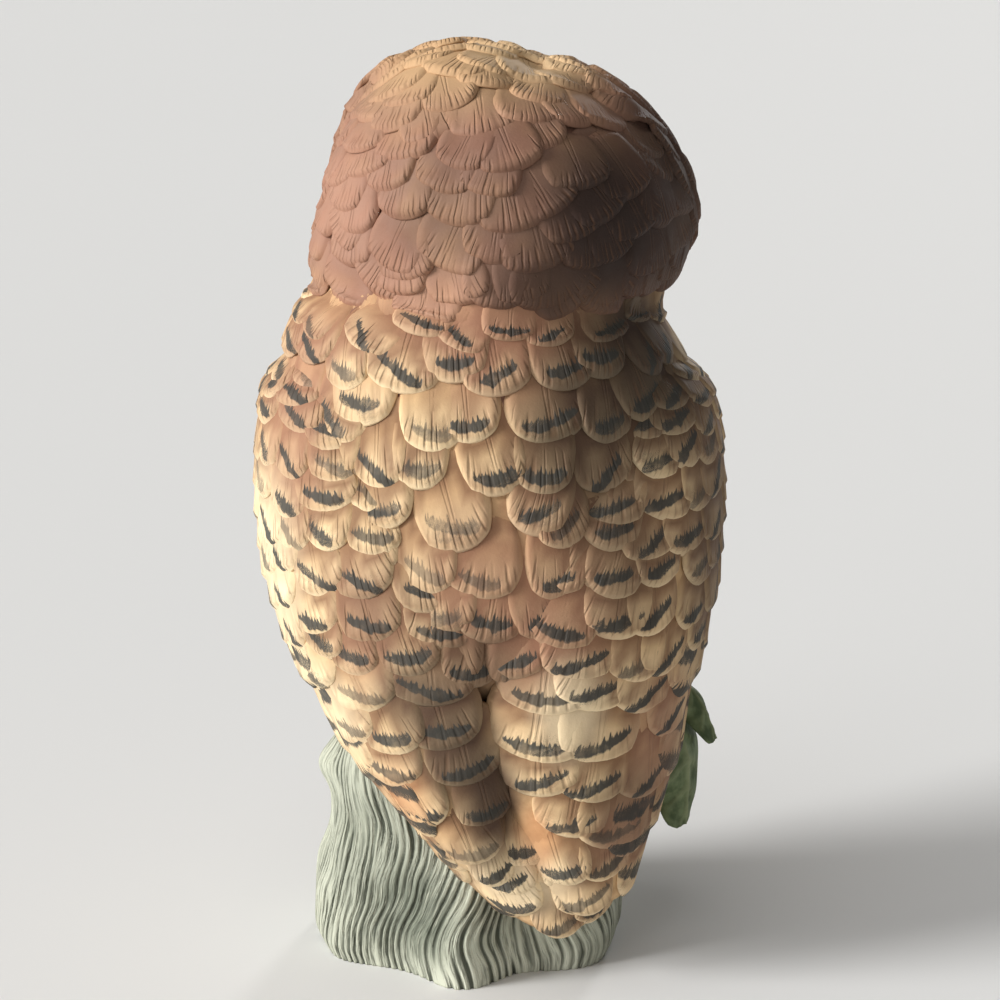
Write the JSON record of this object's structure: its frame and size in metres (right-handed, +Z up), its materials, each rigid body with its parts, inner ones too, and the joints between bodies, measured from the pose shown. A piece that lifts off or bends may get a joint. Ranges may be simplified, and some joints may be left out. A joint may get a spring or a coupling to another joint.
{
  "type": "porcelain owl figurine",
  "caption": "Bisque porcelain owl with folded barred wings and a turned head, perched on a grooved tree stump with a sprig of leaves; stands on its flat underside.",
  "frame": {"origin": "the middle of the bounding box at the flat underside, on the surface the figurine stands on", "axes": "+Z up; the owl's body faces -Y, so +X is its own left side and +Y its back"},
  "size_m": [0.1316, 0.1104, 0.2506],
  "materials": {
    "bisque": "matte",
    "stump_bisque": "matte",
    "leaf_bisque": "matte",
    "beak_bisque": "satin",
    "eye_glaze": "gloss"
  },
  "bodies": {
    "root": {"owl_figurine": "bisque"}
  },
  "joints": []
}
